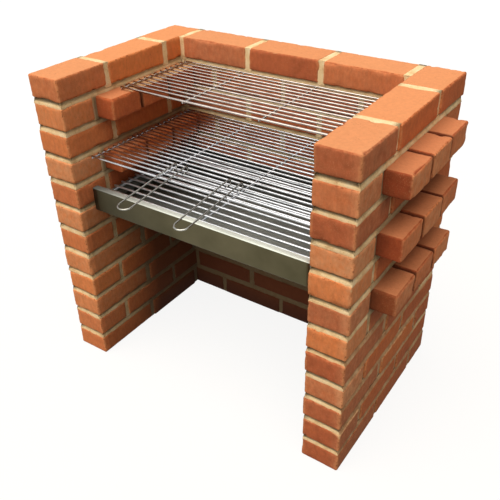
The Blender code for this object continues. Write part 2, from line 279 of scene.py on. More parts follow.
brickLook = {
    # burnt brick tone, and the colour of the painted shade in pores and chips
    "burntAndShade": "#8C4828",
    "dull": "#B05E3B",
    "middle": "#C56C3F",
    "orange": "#DD8147",
    # painted light: the upper faces are drawn paler towards this colour
    "paintedTopLight": "#E09A6A",
    "dust": "#DB9D71",
    # wear, and painted highlight on the upright arrises
    "wornAndHighlight": "#E09A68",
    "sandGrain": "#DDA878",
    # mortar haze, and painted light on the ledge tops under the rack
    "smear": "#DDB587",
    # painted shade, carried by an attribute
    "grime": "#43200F",
    "tones": {"burntAndShade": 0.0, "dull": 0.2, "middle": 0.55, "orange": 1.0},
    "mottling": 0.5,  # share of the tones that one brick runs through
    "attributes": ("brickTone", "dust", "arris", "rubbed", "smear", "grime"),
    "noises": {
        "mottle": (30, 4, 0.55), "dusty": (18.1818, 4, 0.62), "wear": (9.0909, 3, 0.5), "speckle": (8, 3, 0.6),
        "sparse": (16.6667, 2, 0.5), "chipShadow": (6.6667, 3, 0.6), "grain": (1.6, 2, 0.5),
        "haze": (22.2222, 5, 0.65), "lumps": (7.6923, 4, 0.6)},
    "stretch": {"speckle": (1.0, 1.0, 0.5)},  # drawn out upright as the mould dragged the clay
    "poreSpacing": 5,
    "bands": {
        "topLight": (0.88, 0.98, 0, 0.82), "dusty": (0.30, 0.62, 0.35, 1), "wear": (0.18, 0.50, 0, 0.62),
        "speckle": (0.32, 0.68, 0.88, 1.09), "pores": (0.12, 0.26, 1, 0), "sparse": (0.52, 0.62, 0, 1),
        "chipShadow": (0.53, 0.63, 0, 0.75), "arris": (0.60, 0.90, 0, 1), "grain": (0.62, 0.72, 0, 0.5),
        "haze": (0.30, 0.50, 0, 0.9)},
    "poreShade": 0.55,
    "topSmoothness": 0.60,
    "sandRelief": 0.4,
    "poreRelief": -0.8,
    "bump": 0.42,
    "bumpDepth": 0.0012,
    "roughness": 0.88,
    "sheen": 0.25,  # open pores scatter away most of the surface reflection
}


def brickMaterial(name, look):
    # Fired clay facing brick, machine pressed and sand faced: a matt orange-red that goes from red-brown to
    # orange brick by brick, mottled and speckled inside each brick, with open pores, pale sand grains and
    # paler arrises, worn, with a painted highlight on the upright ones. Painted light makes the upper faces
    # paler. Painted shade darkens the pores, the broken places of the arrises and what an attribute marks.
    # Mortar haze lies along some arrises, and painted light lies on some ledge tops.
    material, tree, shader, source = newMaterial(name, look)
    source["pores"] = addNode(tree, "TexVoronoi", {"Scale": 1000 / look["poreSpacing"]},
                              {"Vector": source["place"]}).outputs["Distance"]
    # painted light on the upward faces, read from the height of the normal
    normal = addNode(tree, "NewGeometry").outputs["Normal"]
    source["topLight"] = addNode(tree, "SeparateXYZ", None, {"Vector": normal}).outputs["Z"]
    # wear and the painted highlight keep to the rubbed arrises, haze and painted light to the smeared ones
    for key, factor in (("wear", "rubbed"), ("haze", "smear")):
        source[key] = addNode(tree, "Math", {"operation": "MULTIPLY"},
                              {0: source[key], 1: source[factor]}).outputs[0]
    band = banded(tree, look["bands"], source)
    # dust in patches, pores in groups with painted shade, and painted shadow in the broken places of the
    # arrises
    pairs = ((source["dust"], "dusty"), (band["pores"], "sparse"), (band["chipShadow"], "arris"))
    dust, pits, chipShadow = [
        addNode(tree, "Math", {"operation": "MULTIPLY"}, {0: first, 1: band[key]}).outputs[0]
        for first, key in pairs]
    shade = addNode(tree, "Math", {"operation": "MULTIPLY", 1: look["poreShade"]}, {0: pits}).outputs[0]
    dark = addNode(tree, "Math", {"operation": "MAXIMUM"}, {0: shade, 1: chipShadow}).outputs[0]
    mottling = {"operation": "MULTIPLY_ADD", 1: look["mottling"], 2: -look["mottling"] / 2}
    mottle = addNode(tree, "Math", mottling, {0: source["mottle"]}).outputs[0]
    tone = addNode(tree, "Math", {"operation": "ADD"}, {0: source["brickTone"], 1: mottle}).outputs[0]
    colour = coated(tree, look, tone, {"paintedTopLight": band["topLight"], "dust": dust, "wornAndHighlight": band["wear"]})
    # speckles and relief are weaker on the upper faces, which were struck off smooth
    uneven = addNode(tree, "Math", {"operation": "MULTIPLY_ADD", 1: -look["topSmoothness"], 2: 1.0},
                     {0: band["topLight"]}).outputs[0]
    colour = addNode(tree, "Mix", {"data_type": "RGBA", "blend_type": "MULTIPLY"},
                     {0: uneven, 6: colour, 7: band["speckle"]}).outputs[2]
    colour = coated(tree, look, colour, {
        "burntAndShade": dark, "sandGrain": band["grain"], "smear": band["haze"], "grime": source["grime"]})
    # relief: lumps of a few millimetres, sand, and the pores sunk in
    relief = source["lumps"]
    for depth, height in ((look["sandRelief"], source["grain"]), (look["poreRelief"], pits)):
        relief = addNode(tree, "Math", {"operation": "MULTIPLY_ADD", 1: depth},
                         {0: height, 2: relief}).outputs[0]
    strength = addNode(tree, "Math", {"operation": "MULTIPLY", 1: look["bump"]}, {0: uneven}).outputs[0]
    bump = addNode(tree, "Bump", {"Distance": look["bumpDepth"]}, {"Height": relief, "Strength": strength})
    fillNode(tree, shader, {"Roughness": look["roughness"], "Specular IOR Level": look["sheen"]},
             {"Base Color": colour, "Normal": bump.outputs["Normal"]})
    return material


mortarLook = {
    "damp": "#CFA878",
    "sand": "#F0D4A2",
    "pale": "#F8E6BF",
    "stain": "#A56C42",  # brick dust and soil rubbed over the outer joints
    "grain": "#8A6A46",
    # painted shade and painted shadow, carried by an attribute
    "grime": "#4C3A22",
    "tones": {"damp": 0.24, "sand": 0.46, "pale": 0.70},
    "attributes": ("stain", "grime"),
    "noises": {
        "patch": (30, 5, 0.6), "rubbed": (26.3158, 4, 0.6), "grain": (1.8, 2, 0.5), "lumps": (5.2632, 5, 0.65)},
    "bands": {"rubbed": (0.36, 0.62, 1, 0.6), "grain": (0.58, 0.72, 0, 0.55)},
    "sandRelief": 0.35,
    "bump": 0.9,
    "bumpDepth": 0.0018,
    "roughness": 0.93,
}


def mortarMaterial(look):
    # Lime and sharp sand mortar, struck by hand: matt pale buff, patchy where it dried unevenly, with
    # coarse grains of darker sand and small holes.
    material, tree, shader, source = newMaterial("sandy lime mortar", look)
    band = banded(tree, look["bands"], source)
    stain = addNode(tree, "Math", {"operation": "MULTIPLY"}, {0: source["stain"], 1: band["rubbed"]})
    # the attribute's painted shade and painted shadow darken the mortar
    colour = coated(tree, look, source["patch"], {
        "stain": stain.outputs[0], "grain": band["grain"], "grime": source["grime"]})
    relief = addNode(tree, "Math", {"operation": "MULTIPLY_ADD", 1: look["sandRelief"]},
                     {0: source["grain"], 2: source["lumps"]}).outputs[0]
    bump = addNode(tree, "Bump", {"Strength": look["bump"], "Distance": look["bumpDepth"]},
                   {"Height": relief}).outputs["Normal"]
    fillNode(tree, shader, {"Roughness": look["roughness"]}, {"Base Color": colour, "Normal": bump})
    return material


wireLook = {
    "bright": "#C4C6CA",
    "dull": "#9DA0A3",
    # painted reflection of the brick wall
    "scorched": "#B98E7A",
    "tones": {"bright": 0.35, "dull": 0.75},
    "attributes": ("scorched",),
    "noises": {"haze": (35.7143, 3, 0.5)},
    "roughness": (0.20, 0.32),
}


def wireMaterial(name, look):
    # Drawn steel wire, chromium plated: near-white mirror with duller flux haze in patches, brown where the
    # attribute says, a painted reflection of the brick wall.
    material, tree, shader, source = newMaterial(name, look)
    colour = coated(tree, look, source["haze"], {"scorched": source["scorched"]})
    band = banded(tree, {"haze": (*look["tones"].values(), *look["roughness"])}, source)
    fillNode(tree, shader, {"Metallic": 1.0}, {"Base Color": colour, "Roughness": band["haze"]})
    return material


trayLook = {
    "clean": "#EDF1E9",
    # painted reflection on the front, its two olive tones read by the cloud noise
    "oliveReflection": "#6B644B",
    "stain": "#504B35",
    "soot": "#302E25",
    "tones": {"stain": 0.3, "oliveReflection": 0.7},
    "attributes": ("film", "soot"),
    "noises": {"lines": (1000, 3, 0.5), "cloud": (111.1111, 3, 0.5)},
    "stretch": {"lines": (3.0, 900.0, 900.0)},  # lines to the metre along and across the sheet
    "sootPatches": 0.25,
    "bands": {"film": (0, 1, 0.78, 0.42)},  # roughness, clean to the front that carries the painted reflection
    "lineRoughness": 0.10,
    "bump": 0.25,
    "bumpDepth": 0.0002,
}


def trayMaterial(look):
    # Cold rolled steel sheet with a brushed mill finish: satin grey with fine lines along its length. The
    # front is painted olive and darker, a painted reflection; the turned rim and the floor are cleaner metal.
    material, tree, shader, source = newMaterial("brushed mill steel", look)
    reflectionTone = coated(tree, look, source["cloud"], {})
    colour = addNode(tree, "Mix", {"data_type": "RGBA", 6: hexColour(look["clean"])},
                     {0: source["film"], 7: reflectionTone}).outputs[2]
    # soot and painted shade where the attribute says, in patches
    soot = addNode(tree, "Math", {"operation": "MULTIPLY_ADD", 1: look["sootPatches"]},
                   {0: source["cloud"], 2: source["soot"]}).outputs[0]
    colour = coated(tree, look, colour, {"soot": soot})
    rough = addNode(tree, "Math", {"operation": "MULTIPLY_ADD", 1: look["lineRoughness"]},
                    {0: source["lines"], 2: banded(tree, look["bands"], source)["film"]}).outputs[0]
    bump = addNode(tree, "Bump", {"Strength": look["bump"], "Distance": look["bumpDepth"]},
                   {"Height": source["lines"]}).outputs["Normal"]
    fillNode(tree, shader, {"Metallic": 1.0}, {"Base Color": colour, "Roughness": rough, "Normal": bump})
    return material


wallBrick = brickMaterial("sand faced red brick", brickLook)
ledgeBrick = brickMaterial("sand faced ledge brick", dict(
    brickLook, dull="#9C4829", middle="#B25831", orange="#D3743F", paintedTopLight="#CF875C"))
mortar = mortarMaterial(mortarLook)
brightWire = wireMaterial("chromium plated wire", wireLook)
handleWire = wireMaterial("plated handle wire", dict(
    wireLook, bright="#A9A8A0", dull="#817F77", roughness=(0.10, 0.24)))
# the rack's warm tint is a painted reflection of the brick walls
rackWire = wireMaterial("rack wire with painted brick reflection", dict(
    wireLook, bright="#BDB4AD", dull="#988F88", roughness=(0.12, 0.24)))
grateWire = wireMaterial("plated grate bar", dict(
    wireLook, bright="#DEE3E8", dull="#C1C5C9", roughness=(0.30, 0.48)))
traySteel = trayMaterial(trayLook)
print("materials made")


# bricks; a pair of limits says where a share starts and where it is full

brickShape = {
    "arris": 0.0050,
    "arrisSpread": (0.8, 1.2),
    "cell": (0.006, 0.006, 0.006),
    "offset": (0.0016, 0.0016, 0.0008),  # how far a brick may sit from its line
    "turn": (0.3, 0.3, 0.5),  # degrees
    # cell, seed step, gain, threshold and share; then cell, seed step and share
    "chips": ((0.016, 0, 2.0, 0.7, 1.0), (0.009, 1, 2.2, 0.8, 0.4)),
    "ragged": ((0.013, 8, 0.7), (0.007, 9, 0.6)),
    "waves": ((0.045, 3, 1.0), (0.014, 5, 0.4)),
    "chipDepth": 0.0044,
    "raggedness": 0.0006,  # how far the arrises wander
    "raggedBase": 0.6,
    "waviness": 0.0006,
    "waveBase": 0.5,
    "calmHeight": 0.03,  # the lowest arris was laid to a line
    "calmLeast": 0.15,
    "dustMost": 0.42,
    # the upright arrises also carry a painted highlight
    "levelRub": 0.5,  # how much the level arrises are rubbed, against the upright ones
}
luck = np.random.default_rng(12)
# metres, and shares between none and all the painted shade
shadeSpots = {
    "bayHalf": 0.354, "bayBack": 0.2325, "skin": (-0.012, -0.004), "underTray": (0.54, 0.50),
    "depth": (-0.2155, 0.0345), "soot": 0.86, "shadeAtMouth": 0.20, "foot": (0.09, 0), "footShade": 0.16,
    "towardsTray": (0.28, 0.44), "towardsTrayShade": 0.14, "bayShade": 0.17, "bayShadeDeep": (0, 0.4),
    "bayShadeTop": (0.84, 0.78), "behindFront": (-0.2325, -0.2265), "groundShadeTop": (0.30, 0), "groundShade": 0.22,
    "corner": (-0.014, -0.004), "backCorner": (0.012, 0), "below": (0.06, 0), "beside": (-0.060, -0.056),
    "bed": (-0.004, 0), "above": (0.03, 0), "aboveShare": 0.8, "ledgeShade": 0.55,
}


def paintedShadeAt(points):
    # Painted shade under the tray grows with the square of the depth from the mouth of the bay, and grows
    # near the ground and towards the tray; thinner painted shade above the tray, deeper in the bay, ends under
    # the top course. Outside the bay, painted shade darkens the walls towards the ground and fades out 0.3 m
    # above it, on the sides and the back only.
    spot, (x, y, z) = shadeSpots, points.T
    within = between(np.minimum(spot["bayHalf"] - np.abs(x), spot["bayBack"] - y), spot["skin"])
    under, deep = between(z, spot["underTray"]), between(y, spot["depth"])
    # painted shade under the tray, more with depth, near the ground and towards the tray
    soot = spot["soot"] * (spot["shadeAtMouth"] + (1 - spot["shadeAtMouth"]) * deep ** 2)
    soot = soot + spot["footShade"] * between(z, spot["foot"])
    soot = soot + spot["towardsTrayShade"] * between(z, spot["towardsTray"])
    # thin painted shade above the tray, deeper in the bay
    bayShade = spot["bayShade"] * between(deep, spot["bayShadeDeep"]) * between(z, spot["bayShadeTop"])
    # painted shade outside the bay, darker towards the ground
    groundShade = (1 - within) * between(y, spot["behindFront"]) * spot["groundShade"] * between(z, spot["groundShadeTop"])
    # painted shade on the side walls for 60 mm below the ledge bricks, in the corner before them and along the
    # bed on top of the rows that have another row above
    start, stop = masonry["front"] + brickWidth + uprightJoint, masonry["front"] + backFace - uprightJoint
    beside = between(y - start, spot["corner"]) * between(y - stop, spot["backCorner"])
    ledgeShade = np.zeros(len(points))
    for course in masonry["ledgeCourses"]:
        drop = (course - 1) * coursePitch - z
        ledgeShade = np.maximum(ledgeShade, between(drop, spot["below"]) * between(drop, spot["beside"]))
        if course != topLedge:
            rise = -drop - brickHeight
            above = spot["aboveShare"] * between(rise, spot["bed"]) * between(rise, spot["above"])
            ledgeShade = np.maximum(ledgeShade, above)
    soot = within * (under * soot * (deep > 0) + (1 - under) * bayShade)
    return np.maximum(soot + groundShade, spot["ledgeShade"] * ledgeShade * beside * (y < spot["bayBack"]))


def noiseSum(points, layers, seed):
    # The sum of several noises, each with its cell, its step from the seed and its share.
    return sum(share * smoothNoise(points, cell, seed + step) for cell, step, share in layers)


def layBrick(low, high, shape, tone, smearShare, keepLow=None, keepHigh=None):
    # One brick: a rounded block, its arrises worn in by noise, its faces waved, then turned and shifted.
    seed = luck.uniform(0, 400)
    radius = shape["arris"] * luck.uniform(*shape["arrisSpread"])
    points, quads, outward, near, upright, middle = roundedBlock(low, high, radius, shape["cell"])
    chips = sum(share * np.clip(gain * smoothNoise(points, cell, seed + step) - least, 0, 1)
                for cell, step, gain, least, share in shape["chips"])
    ragged = (noiseSum(points, shape["ragged"], seed) - shape["raggedBase"]) * shape["raggedness"]
    waves = (noiseSum(points, shape["waves"], seed) - shape["waveBase"]) * shape["waviness"]
    calm = np.clip((points[:, 2] + middle[2]) / shape["calmHeight"], shape["calmLeast"], 1)
    points = points + outward * (calm * (waves + near ** 2 * (ragged - chips * shape["chipDepth"])))[:, None]
    angles = np.radians(luck.uniform(-1, 1, 3) * shape["turn"])
    turns = [Matrix.Rotation(angle, 3, axis) for angle, axis in zip(angles, "XYZ")]
    points = points @ np.array(turns[0] @ turns[1] @ turns[2]).T + middle
    points = points + luck.uniform(-1, 1, 3) * shape["offset"]
    if keepLow is not None:
        points = np.clip(points, keepLow, keepHigh)
    dust = np.full(len(points), luck.uniform(0, 1) ** 2 * shape["dustMost"])
    # the upright arrises carry a painted highlight, the level ones wear at a lower share
    rubbed = np.maximum(shape["levelRub"] * near, upright)
    return points, quads, np.full(len(points), tone), dust, near, rubbed, near * smearShare


mortarShape = {
    "bedDepths": {"inner": 0.0020, "outer": 0.0004, "end": 0.0022},
    "jointDepths": {"inner": 0.0030, "outer": 0.0045, "end": 0.0},
    "arris": 0.0030,
    "slope": 0.0075,  # how much deeper a bed is raked at its top than at its bottom
    "innerSlope": 0.6,  # share of it on the inner side, which was struck smoother
    "rough": 0.0013,
    "jointRough": 0.8,  # share of it in the upright joints
    "skin": ((0.030, 0, 0.55), (0.009, 2, 0.45)),
    "lap": 0.0030,  # how far it runs in behind the rounded arrises
    "topLap": 0.0050,  # struck over the arrises on the wall's top
    "topDrop": 0.0002,
    "foot": 0.001,  # kept free above the ground
    "cell": 0.0045,
    "bedCell": 0.0025,
    "coarse": 0.018,
}
# painted shadow under the brick above a bed and dust on the arris below it, as shares of the bed's height
mortarMarks = {
    "from": 0.54, "tallShadeFrom": 0.42, "length": 0.14, "ragged": 0.07, "outerShadeRise": 0.12, "outerShadeCut": 0.35,
    "innerShadeCut": 0.50, "dust": (0.30, 0.18), "dustRagged": 0.072, "dustStain": 0.35, "stain": 0.85,
    "stainEdge": 1.5, "stained": (0.42, 0.37), "grime": 1.35, "contactShade": 0.8, "most": 0.9,
}


def layMortar(low, high, cell, rough, inner, depths, slope, along, shownEnds, shadeFrom):
    # A rough block of mortar: each side, and each end that shows, is raked back by its own depth, more at the
    # top than at the bottom, and the skin moves in and out by two sizes of noise. inner points into the
    # fire bay; the last argument is the share of the height where the painted shadow under the next brick
    # begins.
    look, shape, seed = mortarMarks, mortarShape, luck.uniform(0, 400)
    points, quads, outward, _, _, middle = roundedBlock(low, high, shape["arris"], cell)
    height = np.clip((points[:, 2] / (high[2] - low[2]) + 0.5), 0, 1)
    points = points + middle
    skin = noiseSum(points, shape["skin"], seed)
    facing = outward @ inner
    inside, outside = np.clip(facing, 0, 1), np.clip(-facing, 0, 1)
    depth = inside * depths["inner"] + outside * depths["outer"]
    depth = depth + (outside + shape["innerSlope"] * inside) * slope * height
    points = points - inner * (np.sign(facing) * depth)[:, None] + outward * (skin * rough)[:, None]
    for sign, shown in zip((-1, 1), shownEnds):
        shown = shown * np.clip(sign * outward[:, along], 0, 1)
        points[:, along] -= sign * shown * (depths["end"] + slope * height)
    # the painted shadow starts higher and is weaker on the outer side, and is weaker still on the inner side
    shadeHeight = height - look["outerShadeRise"] * outside + look["ragged"] * skin
    contactShade = between(shadeHeight, (shadeFrom, shadeFrom + look["length"])) * (slope > 0)
    contactShade = contactShade * (1 - look["outerShadeCut"] * outside - look["innerShadeCut"] * inside)
    dust = between(height - look["dustRagged"] * skin, look["dust"]) * (slope > 0)
    return points, quads, look["stain"] * np.clip(look["stainEdge"] * -facing, 0, 1), contactShade, dust


def sideBricks(course):
    # Start and length of each brick of a side wall's course, from the front.
    if course in masonry["ledgeCourses"]:
        return [(0, brickWidth)]
    if course % 2:
        return [(0, brickLength), (sidePitch, brickLength)]
    if course in masonry["threeQuarterCourses"]:
        end = (runDepth - brickLength) / 2 - uprightJoint
        return [(0, end), (end + uprightJoint, brickLength), (runDepth - end, end)]
    bat = runDepth - 2 * (brickLength + uprightJoint)
    return [(0, bat), (bat + uprightJoint, brickLength), (runDepth - brickLength, brickLength)]


def backBricks(course):
    # Start and length of each brick of the back wall's course, from the left.
    step = brickLength + uprightJoint
    if course % 2 == 0:
        return [(brickWidth + uprightJoint + i * step, brickLength) for i in range(masonry["bricksBetween"])]
    cut = (runWidth - 2 * brickLength - 3 * uprightJoint) / 2
    last = runWidth - brickLength
    return [(0, brickLength), (step, cut), (step + cut + uprightJoint, cut), (last, brickLength)]


# middle and spread of each wall's pack
toneOf = {"left": (0.72, 0.14), "right": (0.42, 0.22), "back": (0.42, 0.16)}
toneLimits = (0.02, 1.0)
# courses whose front brick came out of the kiln darker or paler than the rest of its pack, and their tones
hardFired = {"left": (), "right": (1, 2, 3, 5, 10, 12), "tone": 0.20}
softFired = {"left": (5, 7, 9, 11), "right": (6, 8, 9), "tone": 0.92}
# courses whose front brick was rubbed over most with mortar dust
dustedFronts = {"left": (7, 9), "right": (4, 9)}
# courses over whose bed the painted shadow under the brick starts lower
tallShadeBeds = {"left": (8, 10, 12), "right": (2, 3, 4, 5, 6, 8, 10, 11, 12), "back": (3, 6, 9)}
# dust and mortar haze on the bricks; the haze's limits are shares of a brick's height
wallDust = {
    "cleanOutside": 0.6, "stain": 0.10, "stained": (0.42, 0.32), "dusted": 0.35, "rightHard": 0.30,
    "right": 0.65, "leftSoft": 0.40, "left": 0.20, "haze": (0.3, 0.7, 1.0), "hazeInside": 0.6,
    "upper": (0.55, 0.80), "lower": (0.35, 0.10), "lowerShare": 0.55,
}


def buildBricks(name, bricks, level, course, toBox, along, inner):
    # The bricks of one course of one wall. toBox gives the world corners of a stretch of the wall.
    wall, look, parts = name.split("_")[0], wallDust, []
    for start, length in bricks:
        low, high = toBox(start, start + length, level, level + brickHeight)
        tone = float(np.clip(luck.normal(*toneOf[wall]), *toneLimits))
        atFront = along == 1 and start == 0
        if atFront and course in hardFired[wall] + softFired[wall]:
            tone = (hardFired if course in hardFired[wall] else softFired)["tone"]
        points, quads, tones, dust, near, rubbed, smear = layBrick(
            low, high, brickShape, tone, luck.choice(look["haze"]))
        # haze lies on the upper arrises and mostly outside
        outside = between(((np.array(low) + high) / 2 - points) @ inner, (brickWidth / 4, brickWidth / 2))
        height = (points[:, 2] - level) / brickHeight
        edges = between(height, look["upper"]) + look["lowerShare"] * between(height, look["lower"])
        dust = dust * (1 - look["cleanOutside"] * outside)
        dust = dust + look["stain"] * outside * between(points[:, 2], look["stained"])
        if atFront and wall == "right":  # the sleeve of whoever pointed the corner
            dust = dust + look["rightHard" if course in hardFired[wall] else "right"] * outside
        if atFront and wall == "left":
            dust = dust + look["leftSoft" if course in softFired[wall] else "left"]
        if atFront and course in dustedFronts[wall]:
            dust = dust + look["dusted"]
        smear = smear * edges * (look["hazeInside"] + (1 - look["hazeInside"]) * outside)
        parts.append((points, quads, tones, dust, near, rubbed, smear))
    points, quads, tone, dust, arris, rubbed, smear = joinParts(parts)
    # the last attribute carries painted shade
    laid = meshObject(name + "_bricks", points, quads, wallBrick, {
        "brickTone": tone, "dust": dust, "arris": arris, "rubbed": rubbed, "smear": smear,
        "grime": paintedShadeAt(points)})
    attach(laid, "brickwork")
    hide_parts(name)


def buildMortar(name, bricks, span, level, course, toBox, along, inner):
    # The bed under one course of one wall and the upright joints between its bricks.
    wall, shape, look, parts = name.split("_")[0], mortarShape, mortarMarks, []
    lap = shape["lap"]
    cell = [shape["cell"]] * 3
    cell[1 - along] = shape["coarse"]
    if course > 1:
        low, high = toBox(*span, level - bedJoint - lap, level + lap)
        shownEnds = (span[0] == 0, span[1] == (runDepth if along else runWidth))
        parts.append(layMortar(low, high, cell[:2] + [shape["bedCell"]], shape["rough"], inner,
                               shape["bedDepths"], shape["slope"], along, shownEnds,
                               look["tallShadeFrom" if course in tallShadeBeds[wall] else "from"]))
    ends = sorted([(start, start + length) for start, length in bricks])
    gaps = [(a[1], b[0]) for a, b in zip(ends, ends[1:])]
    if ends[0][0] > span[0]:
        gaps.insert(0, (span[0], ends[0][0]))
    if course in masonry["ledgeCourses"] and along == 1:
        gaps = [(brickWidth, brickWidth + uprightJoint), (backFace - uprightJoint, backFace)]
    elif ends[-1][1] < span[1] - uprightJoint / 2:
        gaps.append((ends[-1][1], span[1]))
    top = level + brickHeight
    if course == masonry["courseCount"]:
        lap, top = shape["topLap"], top - shape["topDrop"]
    for start, stop in gaps:
        low, high = toBox(start - lap, stop + lap, max(shape["foot"], level - lap), top)
        parts.append(layMortar(low, high, cell, shape["rough"] * shape["jointRough"], inner,
                               shape["jointDepths"], 0.0, along, (False, False), 1.0))
    if parts:
        points, quads, stain, contactShade, dust = joinParts(parts)
        stain = np.maximum(stain * between(points[:, 2], look["stained"]), look["dustStain"] * dust)
        # painted shade from the walls' mask, and the painted shadow under each brick
        grime = np.clip(look["grime"] * paintedShadeAt(points) + look["contactShade"] * contactShade, 0, look["most"])
        bed = meshObject(name + "_mortar", points, quads, mortar, {"stain": stain, "grime": grime})
        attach(bed, "brickwork")
        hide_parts(name)


def sideBox(centre):
    # World corners of a stretch of the side wall whose middle plane is at the centre.
    def toBox(start, stop, low, high):
        front, half = masonry["front"], brickWidth / 2
        return (centre - half, front + start, low), (centre + half, front + stop, high)
    return toBox


def backBox(start, stop, low, high):
    # World corners of a stretch of the back wall.
    left, face = masonry["outerLeft"], masonry["front"] + backFace
    return (left + start, face, low), (left + stop, face + brickWidth, high)


wallCentre = runWidth / 2 - brickWidth / 2
for course in range(1, masonry["courseCount"] + 1):
    level = (course - 1) * coursePitch
    sidesRunThrough = course % 2 == 0
    sideSpan = (0, runDepth if sidesRunThrough else backFace)
    backSpan = (brickWidth, runWidth - brickWidth) if sidesRunThrough else (0, runWidth)
    for wall, bricks, span, toBox, along, inner in (
            ("left", sideBricks(course), sideSpan, sideBox(-wallCentre), 1, (1.0, 0.0, 0.0)),
            ("right", sideBricks(course), sideSpan, sideBox(wallCentre), 1, (-1.0, 0.0, 0.0)),
            ("back", backBricks(course), backSpan, backBox, 0, (0.0, -1.0, 0.0))):
        name, inner = f"{wall}_wall_course_{course:02d}", np.array(inner)
        buildBricks(name, bricks, level, course, toBox, along, inner)
        buildMortar(name, bricks, span, level, course, toBox, along, inner)
print("walls laid")

ledgeLook = {
    "tone": {"left": 0.80, "right": 0.34}, "toneSpread": 0.14, "dust": 0.15, "rubbed": 0.7,
    "end": (-0.004, 0), "endTone": 0.80, "endPaling": 0.7,
    "wallShade": 0.45, "topWallShade": 0.15, "nearWall": (0.035, 0),
    "gapShade": 0.7, "gapShadeTone": 0.16, "before": (0.005, 0.002), "after": (-0.005, -0.002),
    "underRackLight": 1.1, "underRackFrom": (-0.045, -0.035), "top": (-0.004, -0.001),
}
places = itertools.product(masonry["ledgeCourses"], ("left", "right"), ("front", "middle", "back"))
for course, side, place in places:
    node, look = f"{side}_ledge_{course:02d}_brick_{place}", ledgeLook
    low, high = [np.array(corner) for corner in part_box(node)]
    tone = float(np.clip(luck.normal(look["tone"][side], look["toneSpread"]), *toneLimits))
    points, quads, tone, dust, arris, rubbed, smear = layBrick(low, high, brickShape, tone, 0.0, low, high)
    x, y, z = np.abs(points[:, 0]), points[:, 1], points[:, 2]
    # the end that shows outside is more orange and paler than the face in front
    end = between(x - max(abs(low[0]), abs(high[0])), look["end"])
    # painted shade where it meets the wall, least in the top row, and in the gaps between the row's bricks,
    # where the tone is lowered too
    off = np.maximum(x - runWidth / 2, innerFace - x)
    contactShade = look["topWallShade" if course == topLedge else "wallShade"] * between(off, look["nearWall"])
    before, after = between(y - low[1], look["before"]), between(y - high[1], look["after"])
    if place != "front":
        contactShade = np.maximum(contactShade, look["gapShade"] * before)
    if place != "back":
        contactShade = np.maximum(contactShade, look["gapShade"] * after)
    tone = tone + look["endTone"] * end - look["gapShadeTone"] * before
    # painted light on the inner tops of the top row under the warming rack, in the haze colour
    if course == topLedge:
        onTop = between(z - high[2], look["top"]) * (x < innerFace)
        smear = np.maximum(smear, look["underRackLight"] * onTop * between(y, look["underRackFrom"]))
    laid = meshObject(node + "_body", points, quads, ledgeBrick, {
        "brickTone": tone, "dust": dust * look["dust"] + look["endPaling"] * end, "arris": arris,
        "rubbed": rubbed * look["rubbed"], "smear": smear, "grime": contactShade})
    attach(laid, "brickwork")
    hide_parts(node)
print("ledge bricks laid")


# wires

steepest = 0.9  # how upright a wire may start and still be framed by the vertical
domeAngles = (80, 50, 22)  # of the rings that close a wire's end, in degrees


def gridQuads(rows, sides):
    # Quads between rows of points that close on themselves.
    i, j = np.meshgrid(np.arange(rows - 1), np.arange(sides), indexing="ij")
    k = (j + 1) % sides
    quads = np.stack([i * sides + j, i * sides + k, (i + 1) * sides + k, (i + 1) * sides + j], -1)
    return quads.reshape(-1, 4)


def closedTube(rings, sides):
    # Quads between rings of points, and over the ends, which close on the two points that follow the rings:
    # there a quad spans two sides.
    j, last = np.arange(0, sides, 2), (rings - 1) * sides
    start = np.stack([np.full(len(j), rings * sides), (j + 2) % sides, j + 1, j], 1)
    stop = np.stack([np.full(len(j), rings * sides + 1), last + j, last + j + 1, last + (j + 2) % sides], 1)
    return np.concatenate([gridQuads(rings, sides), start, stop])


def sweptTube(path, radius, sides):
    # A circle of the radius carried along the path in frames that turn as little as they can; domed ends.
    tangent = np.gradient(path, axis=0)
    tangent /= np.linalg.norm(tangent, axis=1, keepdims=True)
    across = np.cross(tangent[0], (0, 0, 1) if abs(tangent[0][2]) < steepest else (1, 0, 0))
    frames = []
    for direction in tangent:
        across = across - direction * (across @ direction)
        across = across / np.linalg.norm(across)
        frames.append(across)
    first = np.array(frames)
    second = np.cross(tangent, first)
    shrink, extra = np.cos(np.radians(domeAngles)), len(domeAngles)
    sink = (radius * (1 - np.sin(np.radians(domeAngles))))[:, None]
    path = np.concatenate([path[0] + tangent[0] * sink, path[1:-1], path[-1] - tangent[-1] * sink[::-1]])
    first, second = [np.concatenate([np.repeat(way[:1], extra, 0), way[1:-1], np.repeat(way[-1:], extra, 0)])
                     for way in (first, second)]
    scale = np.concatenate([shrink, np.ones(len(path) - 2 * extra), shrink[::-1]])
    angle = np.arange(sides) * 2 * math.pi / sides
    rings = path[:, None] + radius * scale[:, None, None] * (
        np.cos(angle)[None, :, None] * first[:, None] + np.sin(angle)[None, :, None] * second[:, None])
    return np.concatenate([rings.reshape(-1, 3), path[:1], path[-1:]]), closedTube(len(path), sides)


bead = {"meridians": 8, "latitudes": (-60, -25, 10, 45), "size": (0.0036, 0.0034, 0.0020), "sink": 0.0004}


def weldSpot(across, along, level):
    # A small flattened bead: an ellipsoid of eight meridians and four rings with its poles up and down.
    lat = np.radians(bead["latitudes"])[:, None]
    lon = np.arange(bead["meridians"]) * 2 * math.pi / bead["meridians"]
    ring = np.stack([np.cos(lat) * np.cos(lon), np.cos(lat) * np.sin(lon), np.sin(lat) + 0 * lon], -1)
    points = np.concatenate([ring.reshape(-1, 3), [(0, 0, -1), (0, 0, 1)]])
    return points * bead["size"] + (across, along, level - bead["sink"]), closedTube(len(lat), len(lon))


